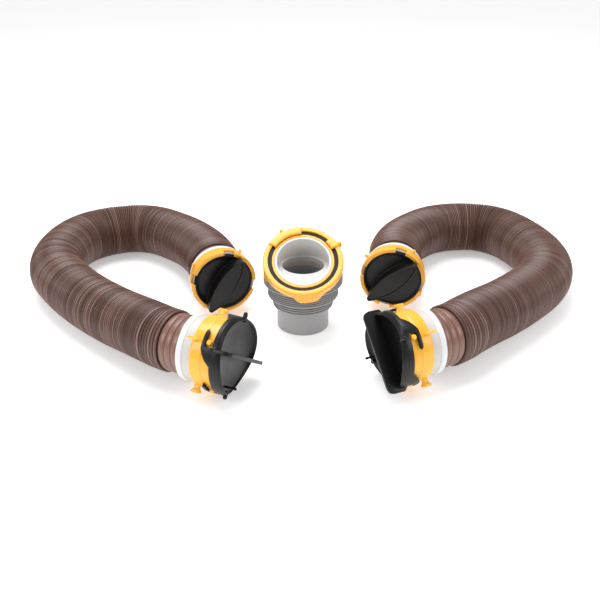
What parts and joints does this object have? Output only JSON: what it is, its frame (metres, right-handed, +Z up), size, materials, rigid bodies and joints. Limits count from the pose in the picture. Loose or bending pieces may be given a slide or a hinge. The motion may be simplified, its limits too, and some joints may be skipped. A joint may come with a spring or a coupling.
{
  "type": "sewer hose kit",
  "caption": "Curled ribbed drain hoses with capped yellow lug and bayonet ends, and a bent clear adapter on a stepped threaded spigot.",
  "frame": {"origin": "centre of the adapter spigot's foot, on the floor", "axes": "+X from hose a to hose b, the kit's longest extent; +Y from the capped lug ends to the bayonet ends; +Z up, along the adapter spigot"},
  "size_m": [0.8695, 0.5563, 0.1482],
  "materials": {
    "hose_brown": "satin ribbed brown",
    "yellow_ring": "glossy golden yellow",
    "cap_black": "satin black",
    "white_collar": "frosted white",
    "sleeve_black": "matt black",
    "black_rubber": "matt black rubber",
    "liner_grey": "silvery grey",
    "spigot_grey": "matt mid grey",
    "clear_elbow": "milky translucent white"
  },
  "bodies": {
    "adapter_base": {"adapter_spigot": "spigot_grey"},
    "adapter_bend": {"adapter_elbow": "clear_elbow", "adapter_oring": "black_rubber"},
    "adapter_head": {"adapter_ring": "yellow_ring", "adapter_gasket": "black_rubber"},
    "hose_a": {"hose_a_tube": "hose_brown", "hose_a_lug_collar": "white_collar", "hose_a_lug_sleeve": "sleeve_black", "hose_a_lug_oring": "black_rubber", "hose_a_bay_collar": "white_collar", "hose_a_bay_sleeve": "sleeve_black", "hose_a_bay_oring": "black_rubber"},
    "hose_a_lug_head": {"hose_a_lug_ring": "yellow_ring", "hose_a_lug_gasket": "black_rubber"},
    "hose_a_lug_cap": {"hose_a_lug_cap": "cap_black"},
    "hose_a_bay_head": {"hose_a_bay_ring": "yellow_ring", "hose_a_bay_gasket": "black_rubber", "hose_a_bay_liner": "liner_grey"},
    "hose_a_bay_plug": {"hose_a_bay_plug": "cap_black"},
    "hose_b": {"hose_b_tube": "hose_brown", "hose_b_lug_collar": "white_collar", "hose_b_lug_sleeve": "sleeve_black", "hose_b_lug_oring": "black_rubber", "hose_b_bay_collar": "white_collar", "hose_b_bay_sleeve": "sleeve_black", "hose_b_bay_oring": "black_rubber"},
    "hose_b_lug_head": {"hose_b_lug_ring": "yellow_ring", "hose_b_lug_gasket": "black_rubber"},
    "hose_b_lug_cap": {"hose_b_lug_cap": "cap_black"},
    "hose_b_bay_head": {"hose_b_bay_ring": "yellow_ring", "hose_b_bay_gasket": "black_rubber", "hose_b_bay_liner": "liner_grey"},
    "hose_b_bay_plug": {"hose_b_bay_plug": "cap_black"}
  },
  "joints": [
    {"name": "hose_a_lug_swivel", "type": "hinge", "parent": "hose_a", "child": "hose_a_lug_head", "pos_m": [-0.10646, -0.17649, 0.054], "axis": [0.9119, -0.4104, 0], "continuous": true},
    {"name": "hose_a_lug_cap_twist", "type": "hinge", "parent": "hose_a_lug_head", "child": "hose_a_lug_cap", "pos_m": [-0.09278, -0.18265, 0.054], "axis": [0.9119, -0.4104, 0], "range_deg": [0, 26]},
    {"name": "hose_a_bay_swivel", "type": "hinge", "parent": "hose_a", "child": "hose_a_bay_head", "pos_m": [-0.12329, 0.04259, 0.054], "axis": [0.3091, -0.951, 0], "continuous": true},
    {"name": "hose_a_bay_plug_twist", "type": "hinge", "parent": "hose_a_bay_head", "child": "hose_a_bay_plug", "pos_m": [-0.1202, 0.03308, 0.054], "axis": [0.3091, -0.951, 0], "range_deg": [-30, 0]},
    {"name": "hose_b_lug_swivel", "type": "hinge", "parent": "hose_b", "child": "hose_b_lug_head", "pos_m": [0.12946, -0.16149, 0.054], "axis": [-0.9119, -0.4104, 0], "continuous": true},
    {"name": "hose_b_lug_cap_twist", "type": "hinge", "parent": "hose_b_lug_head", "child": "hose_b_lug_cap", "pos_m": [0.11578, -0.16765, 0.054], "axis": [-0.9119, -0.4104, 0], "range_deg": [0, 26]},
    {"name": "hose_b_bay_swivel", "type": "hinge", "parent": "hose_b", "child": "hose_b_bay_head", "pos_m": [0.13798, 0.05617, 0.054], "axis": [-0.1683, -0.9857, 0], "continuous": true},
    {"name": "hose_b_bay_plug_twist", "type": "hinge", "parent": "hose_b_bay_head", "child": "hose_b_bay_plug", "pos_m": [0.1363, 0.04632, 0.054], "axis": [-0.1683, -0.9857, 0], "range_deg": [-30, 0]},
    {"name": "hose_b_lift", "type": "slide", "parent": "hose_a", "child": "hose_b", "axis": [0, 0, 1], "range_m": [0, 0.3]},
    {"name": "adapter_lift", "type": "slide", "parent": "hose_a", "child": "adapter_base", "axis": [0, 0, 1], "range_m": [0, 0.3]},
    {"name": "adapter_elbow_swivel", "type": "hinge", "parent": "adapter_base", "child": "adapter_bend", "pos_m": [0, 0, 0.07], "axis": [0, 0, 1], "continuous": true},
    {"name": "adapter_ring_swivel", "type": "hinge", "parent": "adapter_bend", "child": "adapter_head", "pos_m": [0, -0.02505, 0.11508], "axis": [0, -0.5446, 0.8387], "continuous": true}
  ]
}
